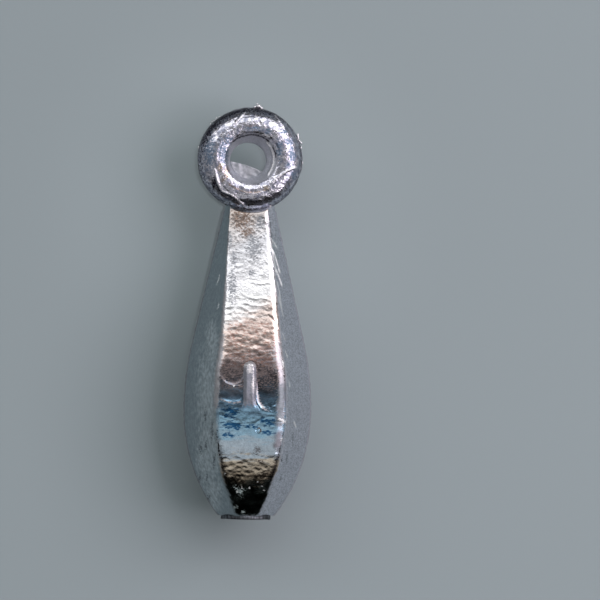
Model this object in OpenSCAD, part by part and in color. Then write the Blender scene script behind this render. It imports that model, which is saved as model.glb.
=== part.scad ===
// Bank sinker: a six-sided teardrop of cast lead with a ring-shaped eye at its thin end.
// It lies on its back face, as it does on a table. The origin is the middle of the eye's
// hole, which runs along Z. The body reaches from the ring towards -Y, the weight mark is
// on the front face, towards +Z, and the two halves of the mould met in the XY plane.

/* [Eye] */
// Outside diameter of the ring
eye_d = 10.9; // [9:0.1:14]
// Diameter of the hole at its narrowest, where the line is tied
eye_hole_d = 3.6; // [3:0.1:4.6]
// How far the core of the hole bites into the ring's round bar
eye_core_bite = 0.1; // [0.06:0.02:0.3]
// Diameter of the hole where it opens on each face
eye_mouth_d = 5.4; // [5:0.1:6.4]
// Length of the straight stretch in the middle of the hole
eye_land = 1; // [0.4:0.1:1.2]

/* [Neck] */
// Width across the side corners where the body meets the ring
neck_w = 5.4; // [4:0.1:7]
// Thickness from front face to back face where the body meets the ring
neck_depth = 2.5; // [1.8:0.1:3.4]

/* [Belly] */
// Distance from the middle of the hole to the widest place
belly_drop = 26.5; // [24:0.5:34]
// Width across the side corners at the widest place
belly_w = 13.4; // [11:0.1:17]
// Thickness from front face to back face at the widest place
belly_depth = 11.3; // [9:0.1:14]
// Radius of the side corners' curve between the neck and the widest place
corner_shoulder_r = 32; // [26:0.5:40]
// Radius of the front and back faces' curve between the neck and the widest place
face_shoulder_r = 34; // [28:0.5:42]

/* [Base] */
// Length of the body's rounded end, from the widest place to the base
tail_l = 11.1; // [9:0.1:16]
// Width across the side corners at the end of the body
base_w = 5.9; // [4.6:0.1:7]
// How far the round stub of the clipped sprue lies inside the base's flat sides
sprue_inset = 0.05; // [0.02:0.01:0.5]
// How far that stub stands out from the base
sprue_h = 0.3; // [0.2:0.05:1.2]
// Width of the bevel round the stub's end
sprue_bevel = 0.15; // [0.05:0.05:0.3]

/* [Weight mark] */
// Distance from the middle of the hole to the top of the mark
mark_drop = 21.3; // [18:0.1:26]
// How far the mark stands to the right of the middle of the front face
mark_shift = -0.15; // [-0.8:0.05:0.8]
// Length of the mark, from its top to its foot
mark_l = 5.2; // [3.5:0.1:7]
// Width of the mark's upright stroke
mark_stroke = 1.25; // [0.8:0.05:2]
// Radius of the curve between stroke and foot
mark_fillet = 0.9; // [0.3:0.1:1.2]
// How far the foot runs on beyond that curve on each side
mark_toe = 0.1; // [0.05:0.05:0.6]
// Height of the mark's foot at its ends
mark_foot_h = 0.35; // [0.2:0.05:0.8]
// How far the mark stands proud of the front face
mark_relief = 0.3; // [0.15:0.05:0.7]

/* [Parting seam] */
// Thickness of the thin fin that the two halves of the mould leave
seam_t = 0.12; // [0.08:0.02:0.3]
// How far that fin stands out from the casting
seam_h = 0.08; // [0.04:0.02:0.4]
// How far the film left across the base side of the eye's hole reaches into the hole
eye_film = 0.2; // [0.1:0.05:0.25]
// How far round from the base side that film lies, towards the left, in degrees
eye_film_turn = 18; // [0:1:90]

/* [Hidden] */

// Angle from a corner to the middle of the next face: a face lies at the corner's radius
// times this angle's cosine
facet_angle = 30;
// Turn from the front face to the next pair of side faces
facet_turn = 60;
// Straight pieces in each curve of a profile
arc_steps = 14;
// One overrun for every cut
cut = 1;
// Roundness of true circles
round_fn = 96;

eye_r = eye_d / 2;
// The ring's round bar reaches from the outside to a little inside the cored hole
eye_bar_r = (eye_r - eye_hole_d / 2 + eye_core_bite) / 2;
// Radius of the circle that the middle of the bar follows
eye_path_r = eye_r - eye_bar_r;
// Height above the parting plane at which each mouth meets the bar's surface
eye_mouth_z = sqrt(pow(eye_bar_r, 2) - pow(eye_path_r - eye_mouth_d / 2, 2));
// Widening of the hole for each millimetre towards a face
eye_mouth_slope = (eye_mouth_d - eye_hole_d) / 2 / (eye_mouth_z - eye_land / 2);

// Distance from the middle of the hole to the end of the six-sided body
base_drop = belly_drop + tail_l;
// Distance from the axis to the flat sides of the base
base_flat_r = base_w / 2 * cos(facet_angle);
// Diameter of the clipped sprue's stub
sprue_d = 2 * (base_flat_r - sprue_inset);
// Depth of the narrow flat on each side corner, as wide as the fin that stands on it
seam_seat = seam_t / 2 * tan(facet_angle);
// Outside radius of the ring with its fin
eye_seam_r = eye_r + seam_h;

lead = [0.62, 0.64, 0.67];
lead_bright = [0.74, 0.75, 0.77];
lead_cut = [0.4, 0.41, 0.43];

// Where the straight taper from the neck touches the shoulder's circle, as an angle at
// that circle's centre, counted from the widest place.
function shoulder_angle(neck_r, belly_r, shoulder_r) =
    let (to_neck = [neck_r - belly_r + shoulder_r, belly_drop - eye_r])
    atan2(to_neck.y, to_neck.x) - acos(shoulder_r / norm(to_neck));

// Radius of the tail's curve: it runs along the axis at the widest place and ends at the base.
function tail_r(belly_r, base_r) =
    let (draw = belly_r - base_r)
    (tail_l * tail_l + draw * draw) / (2 * draw);

// One side of a teardrop's outline as [distance from the axis, place along it]: the straight
// taper, which starts inside the ring, then the shoulder's curve, then the tail's curve.
function teardrop_side(neck_r, belly_r, base_r, shoulder_r) =
    let (
        taper = shoulder_angle(neck_r, belly_r, shoulder_r),
        tail = tail_r(belly_r, base_r),
        tail_angle = asin(tail_l / tail)
    )
    concat(
        [[neck_r - eye_bar_r * tan(taper), -eye_path_r]],
        [for (i = [0:arc_steps]) let (a = taper * (1 - i / arc_steps))
            [belly_r - shoulder_r * (1 - cos(a)), -belly_drop + shoulder_r * sin(a)]],
        [for (i = [1:arc_steps]) let (a = tail_angle * i / arc_steps)
            [belly_r - tail * (1 - cos(a)), -belly_drop - tail * sin(a)]]
    );

// A closed outline from one side and its mirror image.
function both_sides(side) = concat(side, [for (i = [len(side) - 1:-1:0]) [-side[i].x, side[i].y]]);

// Outline across the side corners, grown by g.
function corner_side(g = 0) =
    teardrop_side(neck_w / 2 + g, belly_w / 2 + g, base_w / 2 + g, corner_shoulder_r + g);

// Outline across the front and back faces, grown by g.
function face_side(g = 0) =
    teardrop_side(neck_depth / 2 + g, belly_depth / 2 + g, base_flat_r + g, face_shoulder_r + g);

// Outline across a pair of side faces.
function facet_side() = [for (p = corner_side()) [p.x * cos(facet_angle), p.y]];

// A bar with the teardrop's outline, long enough to cross the body. Its two shaped sides face
// up and down, and a turn about the body's axis makes them face another way.
module facing_bar(side, turn = 0) {
    rotate([0, 90 + turn, 0]) linear_extrude(2 * belly_w, center = true) polygon(both_sides(side));
}

// The six-sided teardrop before the ring is let into it, its front and back faces grown by g,
// with a narrow flat down each side corner for the fin.
module teardrop(g = 0) {
    intersection() {
        facing_bar(face_side(g));
        facing_bar(facet_side(), facet_turn);
        facing_bar(facet_side(), -facet_turn);
        facing_bar(corner_side(-seam_seat), 90);
    }
}

// The ring as a full torus, before the hole is cored.
module ring_blank() {
    rotate_extrude($fn = round_fn) translate([eye_path_r, 0]) circle(eye_bar_r, $fn = round_fn);
}

// The core that leaves the hole: straight in the middle, wider towards each face.
module eye_core() {
    reach = eye_bar_r + cut;
    mouth_r = eye_hole_d / 2 + (reach - eye_land / 2) * eye_mouth_slope;
    rotate_extrude($fn = round_fn) polygon([
        [0, -reach], [mouth_r, -reach], [eye_hole_d / 2, -eye_land / 2],
        [eye_hole_d / 2, eye_land / 2], [mouth_r, reach], [0, reach]
    ]);
}

// Outline of the mark: an upright stroke that widens into a foot.
module mark_outline() {
    foot_w = mark_stroke + 2 * (mark_fillet + mark_toe);
    fillet_y = mark_foot_h + mark_fillet;
    stroke_h = mark_l - mark_stroke / 2;
    translate([0, stroke_h]) circle(d = mark_stroke, $fn = round_fn);
    translate([-mark_stroke / 2, 0]) square([mark_stroke, stroke_h]);
    translate([-foot_w / 2, 0]) square([foot_w, mark_foot_h]);
    difference() {
        translate([-mark_stroke / 2 - mark_fillet, 0]) square([mark_stroke + 2 * mark_fillet, fillet_y]);
        for (side = [-1, 1])
            translate([side * (mark_stroke / 2 + mark_fillet), fillet_y])
                circle(mark_fillet, $fn = round_fn);
    }
}

// Gives a flat shape in the parting plane the fin's thickness.
module parting_plate() {
    linear_extrude(seam_t, center = true) children();
}

// The cast body, cut away at the neck where the ring lies in it.
module body() {
    color(lead) difference() {
        teardrop();
        ring_blank();
    }
}

// The ring, cored for the line.
module eye_ring() {
    color(lead_bright) difference() {
        ring_blank();
        eye_core();
    }
}

// The raised stroke on the front face that gives the weight.
module weight_mark() {
    color(lead_bright) difference() {
        intersection() {
            translate([mark_shift, -mark_drop - mark_l, 0])
                linear_extrude(belly_depth) mark_outline();
            teardrop(mark_relief);
        }
        teardrop();
    }
}

// What is left of the sprue after it is clipped off, at the base.
module sprue_stub() {
    color(lead_cut) translate([0, -base_drop, 0]) rotate([90, 0, 0]) {
        cylinder(sprue_h - sprue_bevel, d = sprue_d, $fn = round_fn);
        translate([0, 0, sprue_h - sprue_bevel])
            cylinder(sprue_bevel, d1 = sprue_d, d2 = sprue_d - 2 * sprue_bevel, $fn = round_fn);
    }
}

// The seam down the right-hand corner, from the ring's seam to the base.
module seam_fin_right() {
    outer = corner_side(seam_h);
    inner = corner_side(-seam_seat);
    color(lead) parting_plate() difference() {
        polygon(concat(outer, [for (i = [len(inner) - 1:-1:0]) inner[i]]));
        circle(eye_seam_r, $fn = round_fn);
    }
}

// The seam down the left-hand corner.
module seam_fin_left() {
    mirror([1, 0, 0]) seam_fin_right();
}

// The seam round the outside of the ring, open where the neck is.
module eye_seam_fin() {
    color(lead) difference() {
        parting_plate() difference() {
            circle(eye_seam_r, $fn = round_fn);
            circle(eye_path_r, $fn = round_fn);
        }
        ring_blank();
        teardrop();
    }
}

// The thin film that the metal left across the base side of the hole, with a straight edge.
module eye_film_flash() {
    hole_r = eye_hole_d / 2;
    color(lead) parting_plate() rotate(-eye_film_turn) intersection() {
        circle(hole_r, $fn = round_fn);
        translate([-hole_r, -2 * hole_r]) square([2 * hole_r, hole_r + eye_film]);
    }
}

body();
eye_ring();
weight_mark();
sprue_stub();
seam_fin_left();
seam_fin_right();
eye_seam_fin();
eye_film_flash();
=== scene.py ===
from math import acos, atan2, cos, hypot, pi, radians, sin, sqrt, tan

import bpy
import numpy as np
from mathutils import Matrix, Vector


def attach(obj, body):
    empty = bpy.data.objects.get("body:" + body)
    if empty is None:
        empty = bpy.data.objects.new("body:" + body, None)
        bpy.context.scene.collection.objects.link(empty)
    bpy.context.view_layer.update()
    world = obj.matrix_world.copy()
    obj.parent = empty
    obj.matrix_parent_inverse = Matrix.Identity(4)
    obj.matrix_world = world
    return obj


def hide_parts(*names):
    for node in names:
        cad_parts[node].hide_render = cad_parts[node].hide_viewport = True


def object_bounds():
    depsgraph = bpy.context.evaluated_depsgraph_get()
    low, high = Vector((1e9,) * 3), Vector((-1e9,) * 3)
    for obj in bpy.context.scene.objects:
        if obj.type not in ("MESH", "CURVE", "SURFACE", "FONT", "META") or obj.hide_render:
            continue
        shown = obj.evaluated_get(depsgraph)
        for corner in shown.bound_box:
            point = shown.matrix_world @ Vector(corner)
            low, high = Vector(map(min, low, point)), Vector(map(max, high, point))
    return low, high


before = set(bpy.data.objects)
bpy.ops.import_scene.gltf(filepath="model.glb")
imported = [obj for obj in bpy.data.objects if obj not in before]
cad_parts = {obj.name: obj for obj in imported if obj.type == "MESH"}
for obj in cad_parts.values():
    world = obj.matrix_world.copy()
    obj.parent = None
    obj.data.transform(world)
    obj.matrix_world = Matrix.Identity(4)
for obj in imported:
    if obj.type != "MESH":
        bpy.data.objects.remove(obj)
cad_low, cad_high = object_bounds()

bpy.ops.object.select_all(action="DESELECT")
mm = 0.001


# The camera stands straight above the sinker, which lies on its back, far enough away for
# the flat, scan-like view of the photograph. It is turned a little about the sinker's axis.
view_width = 63.4 * mm
view_lens = 300
sensor = 36
view_nearest = 10 * mm
side_turn = radians(4)
roll = radians(0.72)
view_middle = Vector((5.42, -14.78, 0)) * mm

view_back = Vector((-sin(side_turn), 0, cos(side_turn)))
view_right = Vector((-sin(roll), cos(roll), 0)).cross(view_back).normalized()
facing = Matrix((view_right, view_back.cross(view_right), view_back)).transposed()
bpy.ops.object.camera_add(
    location=view_middle + view_back * view_width * view_lens / sensor, rotation=facing.to_euler()
)
camera = bpy.context.object
camera.data.lens = view_lens
camera.data.sensor_width = sensor
camera.data.clip_start = view_nearest
bpy.context.scene.camera = camera


# The floor: a pale grey-blue card, matt, right under the sinker's back face.
floor_radius = 1.2
floor_hex = "#94A0A4"


def linear(hex_colour):
    """An sRGB hex colour as the linear RGBA that shaders take."""
    shares = [int(hex_colour[i:i + 2], 16) / 255 for i in (1, 3, 5)]
    return [c / 12.92 if c <= 0.04045 else ((c + 0.055) / 1.055) ** 2.4 for c in shares] + [1]


def add_node(tree, kind, settings=None, **inputs):
    """Adds a node. settings are its properties, and inputs what goes into its sockets, by name
    or by number after a _. Another node there stands for its first output. On a Mix node _0 is
    how much of the second shows, _2 and _3 are two numbers, and _6 and _7 two colours."""
    made = tree.nodes.new("ShaderNode" + kind)
    for name, value in (settings or {}).items():
        setattr(made, name, value)
    for name, value in inputs.items():
        key = int(name[1:]) if name[1:].isdigit() else name.replace("_", " ")
        socket = made.inputs[key]
        if isinstance(value, bpy.types.Node):
            value = next(output for output in value.outputs if not output.is_unavailable)
        if isinstance(value, bpy.types.NodeSocket):
            tree.links.new(value, socket)
        else:
            socket.default_value = value
    return made


def new_material(name, metallic=0, roughness=0.5):
    """A material, its node tree and its shader."""
    made = bpy.data.materials.new(name)
    made.use_nodes = True
    shader = made.node_tree.nodes["Principled BSDF"]
    shader.inputs["Metallic"].default_value = metallic
    shader.inputs["Roughness"].default_value = roughness
    return made, made.node_tree, shader


bpy.ops.mesh.primitive_circle_add(
    vertices=96, radius=floor_radius, fill_type="NGON", location=(0, 0, cad_low.z)
)
floor = bpy.context.object
floor.name = "floor"
# Matt card: no gloss to speak of, so that it only takes the soft shadow
card, _, card_shader = new_material("matt_card", roughness=0.9)
card_shader.inputs["Base Color"].default_value = linear(floor_hex)
card_shader.inputs["Specular IOR Level"].default_value = 0.1
floor.data.materials.append(card)


# The studio round it: a long bright strip over the eye's end, a dark gap straight above, a
# dim pale strip towards the base, and black beyond both. It is drawn by direction only.
# Each stop is [degrees from straight up, towards the eye as plus, brightness].
strip_stops = [
    [-90, 0.06], [-80, 0.05], [-73, 0.003], [-43, 0.002], [-38, 0.05], [-33, 0.33], [-27, 0.6],
    [-14, 0.6], [-8, 0.44], [-3, 0.31], [1, 0.23], [6, 0.08], [10, 0.09], [14, 0.22], [18, 0.36],
    [24, 0.54], [28, 0.95], [32, 2.2], [48, 2.2], [56, 1.1], [64, 0.06], [90, 0.02],
]
# To either side it evens out to one brightness, between these shares of the way out
side_glow = 0.3
side_glow_from = 0.7
side_glow_full = 0.92

smooth = {"interpolation_type": "SMOOTHSTEP"}
mix_colours = {"data_type": "RGBA"}


def set_stops(node, stops):
    """Gives a colour ramp node its stops, each [place from 0 to 1, linear colour]."""
    elements = node.color_ramp.elements
    while len(elements) < len(stops):
        elements.new(0.5)
    for element, (place, colour) in zip(elements, stops):
        element.position = place
        element.color = colour


world = bpy.data.worlds.new("studio")
bpy.context.scene.world = world
world.use_nodes = True
tree = world.node_tree
direction = add_node(tree, "TexCoord").outputs["Generated"]
parts = add_node(tree, "SeparateXYZ", Vector=direction)
lean = add_node(tree, "Math", {"operation": "ARCTAN2"}, _0=parts.outputs["Y"], _1=parts.outputs["Z"])
place = add_node(tree, "MapRange", Value=lean, From_Min=-pi / 2, From_Max=pi / 2)
strips = add_node(tree, "ValToRGB", Fac=place)
set_stops(strips, [[(angle + 90) / 180, (level, level, level, 1)] for angle, level in strip_stops])
sideways = add_node(tree, "Math", {"operation": "ABSOLUTE"}, _0=parts.outputs["X"])
beside = add_node(
    tree, "MapRange", smooth, Value=sideways, From_Min=side_glow_from, From_Max=side_glow_full
)
round_about = add_node(
    tree, "Mix", mix_colours, _0=beside, _6=strips, _7=(side_glow, side_glow, side_glow, 1)
)
# What the camera sees past the card is the card's colour
path = add_node(tree, "LightPath")
seen = add_node(
    tree, "Mix", mix_colours, _0=path.outputs["Is Camera Ray"], _6=round_about, _7=linear(floor_hex)
)
tree.links.new(seen.outputs["Result"], tree.nodes["Background"].inputs["Color"])

# The key light: one long softbox to the right, along the sinker, which throws the soft shadow
# to the left. It is a little warmer than the sky.
key_distance = 0.45
key_size = (0.46, 0.3)
key_power = 1.35
key_tint = (1, 0.88, 0.93)
key_tilt = radians(44)
key_turn = radians(10)

key_way = Vector((sin(key_tilt) * cos(key_turn), sin(key_tilt) * sin(key_turn), cos(key_tilt)))
bpy.ops.object.light_add(
    type="AREA", location=key_way * key_distance, rotation=key_way.to_track_quat("Z", "Y").to_euler()
)
key = bpy.context.object
key.data.shape = "RECTANGLE"
key.data.size, key.data.size_y = key_size
key.data.energy = key_power
key.data.color = key_tint
key.visible_camera = False

# A soft spot from high above lifts the card round the neck, beside the ring and under its
# hole. It is weak, and the metal does not mirror it.
lift_place = Vector((-1.5, -5, 600)) * mm
lift_cone = radians(2.9)
lift_lamp_r = 12 * mm
lift_power = 3.4

bpy.ops.object.light_add(type="SPOT", location=lift_place)
lift = bpy.context.object
lift.data.spot_size = lift_cone
lift.data.spot_blend = 1
lift.data.shadow_soft_size = lift_lamp_r
lift.data.energy = lift_power
lift.visible_camera = False
lift.visible_glossy = False


# The body: a six-sided teardrop of lead, poured into a two-part mould from the base end. The
# metal chilled as it ran in, so its faces carry ripples, laps, sunk pockets and fine grain.
eye_r = 5.45 * mm
eye_bar_r = 1.875 * mm
eye_path_r = eye_r - eye_bar_r
neck_w = 5.4 * mm
neck_depth = 2.5 * mm
belly_drop = 26.5 * mm
belly_w = 13.4 * mm
belly_depth = 11.3 * mm
corner_shoulder_r = 32 * mm
face_shoulder_r = 34 * mm
tail_l = 11.1 * mm
base_w = 5.9 * mm
base_drop = belly_drop + tail_l
facet_angle = radians(30)
base_flat_r = base_w / 2 * cos(facet_angle)

face_edge_bevel = 0.8 * mm
side_edge_bevel = 0.12 * mm
base_edge_bevel = 0.35 * mm
body_rows = (31, 10)
front_columns = 72
side_columns = 46
back_columns = 14
# An edge that covers a stretch of an axis runs along it, and one within a hair runs across it
stretch = 1 * mm
hair = 0.05 * mm


def edit(piece, kind, test):
    """Goes into edit mode on a piece with what passes the test selected, and nothing else.
    kind is VERT, EDGE or FACE; the test gets each one's corners as rows of an array."""
    bpy.ops.object.select_all(action="DESELECT")
    bpy.context.view_layer.objects.active = piece
    piece.select_set(True)
    bpy.ops.object.mode_set(mode="EDIT")
    bpy.ops.mesh.select_mode(type=kind)
    bpy.ops.mesh.select_all(action="DESELECT")
    bpy.ops.object.mode_set(mode="OBJECT")
    mesh = piece.data
    points = np.array([v.co for v in mesh.vertices])
    if kind == "VERT":
        for v, p in zip(mesh.vertices, points):
            v.select = bool(test(p[None]))
    for e in mesh.edges if kind == "EDGE" else []:
        e.select = bool(test(points[list(e.vertices)]))
    for f in mesh.polygons if kind == "FACE" else []:
        f.select = bool(test(points[list(f.vertices)]))
    bpy.ops.object.mode_set(mode="EDIT")


def done():
    """Leaves edit mode."""
    bpy.ops.object.mode_set(mode="OBJECT")


def settle(piece):
    """Puts the piece's place and turn into its mesh."""
    bpy.ops.object.select_all(action="DESELECT")
    bpy.context.view_layer.objects.active = piece
    piece.select_set(True)
    bpy.ops.object.transform_apply(location=True, rotation=True, scale=True)


def outline(drop, neck_r, belly_r, base_r, shoulder_r):
    """Distance from the axis at each drop below the hole: straight taper, shoulder, tail."""
    to_neck = (neck_r - belly_r + shoulder_r, belly_drop - eye_r)
    taper = atan2(to_neck[1], to_neck[0]) - acos(shoulder_r / hypot(*to_neck))
    draw = belly_r - base_r
    tail = (tail_l ** 2 + draw ** 2) / (2 * draw)
    past = drop - belly_drop
    bend = np.sqrt(np.maximum(shoulder_r ** 2 - np.minimum(past, 0) ** 2, 0))
    shoulder = belly_r - shoulder_r + bend
    straight = neck_r + (drop - eye_r) * tan(taper)
    rounded = belly_r - tail + np.sqrt(np.maximum(tail ** 2 - np.maximum(past, 0) ** 2, 0))
    return np.where(past > 0, rounded, np.where(past > -shoulder_r * sin(taper), shoulder, straight))


def half_width(drop):
    """Half the width over the side corners."""
    return outline(drop, neck_w / 2, belly_w / 2, base_w / 2, corner_shoulder_r)


def half_depth(drop):
    """Half the thickness between the front and back faces."""
    return outline(drop, neck_depth / 2, belly_depth / 2, base_flat_r, face_shoulder_r)


body_length = base_drop - eye_path_r
bpy.ops.mesh.primitive_cylinder_add(
    vertices=6, radius=belly_w / 2, depth=body_length,
    location=(0, -eye_path_r - body_length / 2, 0), rotation=(pi / 2, facet_angle, 0),
)
body = bpy.context.object
body.name = "cast_body"
settle(body)
section_depth = belly_w / 2 * cos(facet_angle)


def spread(p, way):
    """How far an edge runs along x, y or z."""
    return abs(p[0][way] - p[1][way])


def is_long(p):
    """An edge from one end of the bar to the other."""
    return spread(p, 1) > body_length / 2


def is_across(p, side):
    """An edge across the front face, side 1, or the back face, side -1."""
    return spread(p, 0) > stretch and spread(p, 2) < hair and p[0][2] * side > 0


def bevel(piece, offset, segments, test):
    """Rounds the edges that pass the test."""
    edit(piece, "EDGE", test)
    bpy.ops.mesh.bevel(offset=offset, segments=segments, affect="EDGES")
    done()


def divide(piece, count, test):
    """Divides each edge that passes the test into count parts."""
    edit(piece, "EDGE", test)
    bpy.ops.mesh.subdivide(number_cuts=count - 1)
    done()


def divide_along(piece, length, rows):
    """Divides a piece along y, into rows[0] parts and each of those into rows[1], because one
    round of cuts makes 100 at most."""
    divide(piece, rows[0], lambda p: spread(p, 1) > length / 2)
    divide(piece, rows[1], lambda p: spread(p, 1) > length / 2 / rows[0])


bevel(body, face_edge_bevel, 8, lambda p: is_long(p) and abs(p[0][2]) > section_depth / 2)
bevel(body, side_edge_bevel, 2, lambda p: is_long(p) and abs(p[0][2]) < hair)
bevel(body, base_edge_bevel, 5, lambda p: not is_long(p) and abs(p[0][1] + base_drop) < hair)
divide(body, front_columns, lambda p: is_across(p, 1))
divide(body, side_columns, lambda p: spread(p, 2) > stretch and p[0][2] + p[1][2] > 0)
divide(body, back_columns, lambda p: is_across(p, -1) or spread(p, 2) > stretch)
divide_along(body, body_length, body_rows)


def points_of(piece):
    """Every vertex's place and normal, as arrays."""
    places = np.zeros(len(piece.data.vertices) * 3)
    piece.data.vertices.foreach_get("co", places)
    normals = np.zeros(len(piece.data.vertices) * 3)
    piece.data.vertices.foreach_get("normal", normals)
    return places.reshape(-1, 3), normals.reshape(-1, 3)


def put(piece, points):
    """Moves every vertex to its new place."""
    piece.data.vertices.foreach_set("co", points.ravel())
    piece.data.update()


def ease(value, low, high):
    """0 below low, 1 above high, and smooth between."""
    share = np.clip((value - low) / (high - low), 0, 1)
    return share * share * (3 - 2 * share)


def from_line(p, a, b):
    """Each point's distance from a straight line from a to b, seen from the front, and how far
    along it the nearest place is, 0 to 1."""
    a, b = np.array(a), np.array(b)
    t = np.clip(((p[:, :2] - a) @ (b - a)) / ((b - a) @ (b - a)), 0, 1)
    return np.hypot(*(p[:, :2] - a - t[:, None] * (b - a)).T), t


def bar_inside(p, a, b, radius):
    """How far each point is inside a round-ended bar from a to b; less than 0 is outside."""
    return radius - from_line(p, a, b)[0]


# Every row of the straight bar is drawn in to the mould's profile at its place. The front
# face's edges wander a little from it, because the mould was cut by hand. Each is [drop below
# the hole, shift to the right], in millimetres.
left_edge = [[6, -0.17], [14, 0], [20.5, 0], [22, -0.2], [25, -0.08], [27, 0], [33.4, 0], [35.4, 0.27]]
right_edge = [[6, -0.17], [14, 0], [20.5, 0], [22.5, 0.17], [27, 0.17], [30, 0.04], [32.8, 0], [34.3, -0.3]]
shift_fade_share = 0.3
# The lip, where the front face ends, swells a little and rounds over to just short of upright
lip_swell = 0.05 * mm
lip_reach = 0.9 * mm
lip_drop = 5.7 * mm
lip_round = 0.42 * mm
lip_meet = 5.33 * mm
lip_meet_z = 0.6 * mm
lip_upright_share = 0.999

p, n = points_of(body)
drop = -p[:, 1]
share = np.abs(p[:, 2]) / section_depth
depth_here = half_depth(drop) + lip_swell * np.exp(-((drop - lip_drop) / lip_reach) ** 2)
half_here = half_width(drop)
p[:, 0] *= (half_here - share * depth_here / sqrt(3)) / (belly_w / 2 * (1 - share / 2))
p[:, 2] *= depth_here / section_depth
for side, edge in ((-1, left_edge), (1, right_edge)):
    shift = np.interp(drop / mm, *np.array(edge).T) * mm
    at_edge = ease(side * p[:, 0] / half_here, 0, shift_fade_share)
    p[:, 0] += shift * at_edge * ease(p[:, 2] / depth_here, shift_fade_share, 1)
# The end is rounded over into the groove where the ring begins, and goes on inside the ring
off = np.hypot(p[:, 0], p[:, 1])
fall = np.clip((lip_meet + lip_round - off) / lip_round, 0, 1)
lip_fall = 1 - np.sqrt(1 - fall ** 2 * lip_upright_share)
top = depth_here - (depth_here - lip_meet_z) * lip_fall
p[:, 2] = np.clip(p[:, 2], -top, top)

# Pockets where the metal chilled and sank beside the mark, deepest at their lower rims. Each
# is [start, end, radius, depth], a round-ended bar in x and y, in millimetres.
pockets = [
    [(-2.15, -22.45), (-1.8, -22.55), 1.2, 0.05], [(-2.45, -24.68), (-1.5, -24.72), 0.78, 0.05],
    [(1.62, -22.4), (1.78, -25.1), 1.2, 0.06],
]
pocket_wall = (-0.02, 0.3)
pocket_top_share = 0.25
for start, end, radius, depth in pockets:
    wall = ease(bar_inside(p / mm, start, end, radius), *pocket_wall)
    top, bottom = max(start[1], end[1]), min(start[1], end[1])
    lower = ease(-p[:, 1] / mm, -top - radius, -bottom)
    sink = pocket_top_share + (1 - pocket_top_share) * lower
    p[:, 2] -= wall * (p[:, 2] > 0) * sink * depth * mm
put(body, p)
bpy.ops.object.shade_smooth()


def smooth_line(points):
    """A line with its corners cut off twice, so that it bends softly."""
    line = np.array(points, float) * mm
    for _ in range(2):
        inner = np.empty((2 * len(line) - 2, 2))
        inner[0::2] = line[:-1] * 0.75 + line[1:] * 0.25
        inner[1::2] = line[:-1] * 0.25 + line[1:] * 0.75
        line = np.vstack([line[:1], inner, line[-1:]])
    return line


def line_share(p, width, points):
    """1 along a line, seen from the front, falling to 0 beside it and to a quarter at its ends."""
    line = smooth_line(points)
    best = np.full(len(p), np.inf)
    along = np.zeros(len(p))
    lengths = np.hypot(*np.diff(line, axis=0).T)
    starts = np.concatenate([[0], np.cumsum(lengths)])
    for a, b, start, length in zip(line, line[1:], starts, lengths):
        gap, t = from_line(p, a, b)
        nearer = gap < best
        best[nearer] = gap[nearer]
        along[nearer] = start + t[nearer] * length
    end = np.minimum(along, starts[-1] - along) / (3 * width * mm)
    return np.exp(-(best / (width * mm)) ** 2) * np.clip(0.25 + end, 0, 1)


def draw_laps(piece, laps):
    """Raises a soft ridge along each line on the front, as a lap of metal that chilled before
    it joined. A lap is [half width, height, points in x and y], in millimetres."""
    p, n = points_of(piece)
    for width, height, points in laps:
        rise = line_share(p, width, points) * ((p[:, 2] > 0) & (n[:, 2] > 0.05))
        p = p + n * (rise * height * mm)[:, None]
    put(piece, p)


def ripple(piece, name, cell, depth, weight, place=(0, 0, 0), layers=1, basis="IMPROVED_PERLIN"):
    """Raises and sinks the skin in waves. cell is their size along x, y and z and depth their
    height, in millimetres; weight gives each vertex its share, which is kept in 60 levels."""
    levels = 60
    shares = np.round(np.clip(weight(*points_of(piece)), 0, 1) * levels)
    group = piece.vertex_groups.new(name=name)
    for level in range(1, levels + 1):
        group.add(np.nonzero(shares == level)[0].tolist(), level / levels, "REPLACE")
    waves = bpy.data.textures.new(name, "CLOUDS")
    waves.noise_basis = basis
    waves.noise_scale = 1
    waves.noise_depth = layers
    bpy.ops.object.empty_add(location=Vector(place) * mm)
    ruler = bpy.context.object
    ruler.scale = Vector(cell) * mm
    bpy.context.view_layer.update()
    waving = piece.modifiers.new(name, "DISPLACE")
    waving.texture = waves
    waving.texture_coords = "OBJECT"
    waving.texture_coords_object = ruler
    waving.vertex_group = name
    waving.strength = depth * mm
    bpy.context.view_layer.objects.active = piece
    bpy.ops.object.modifier_apply(modifier=name)
    bpy.data.objects.remove(ruler)
    piece.vertex_groups.remove(piece.vertex_groups[name])


def everywhere(p, n):
    """The whole skin."""
    return np.ones(len(p))


def front(low, high, edge=1.0):
    """The front face from one drop below the hole to another, in millimetres."""
    def share(p, n):
        drop = -p[:, 1] / mm
        return ease(n[:, 2], 0.6, 0.95) * ease(drop, low - edge, low) * (1 - ease(drop, high, high + edge))
    return share


def sides(p, n):
    """The four sloping faces."""
    return 1 - ease(np.abs(n[:, 2]), 0.6, 0.8)


def face_edges(p, n):
    """The rounded edges between the front face and the faces beside it."""
    return ease(n[:, 2], 0.55, 0.65) * (1 - ease(n[:, 2], 0.9, 0.98))


def back(p, n):
    """The back face, away from the neck."""
    return ease(-n[:, 2], 0.7, 0.95) * ease(-p[:, 1] / mm, 8, 12)


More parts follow.
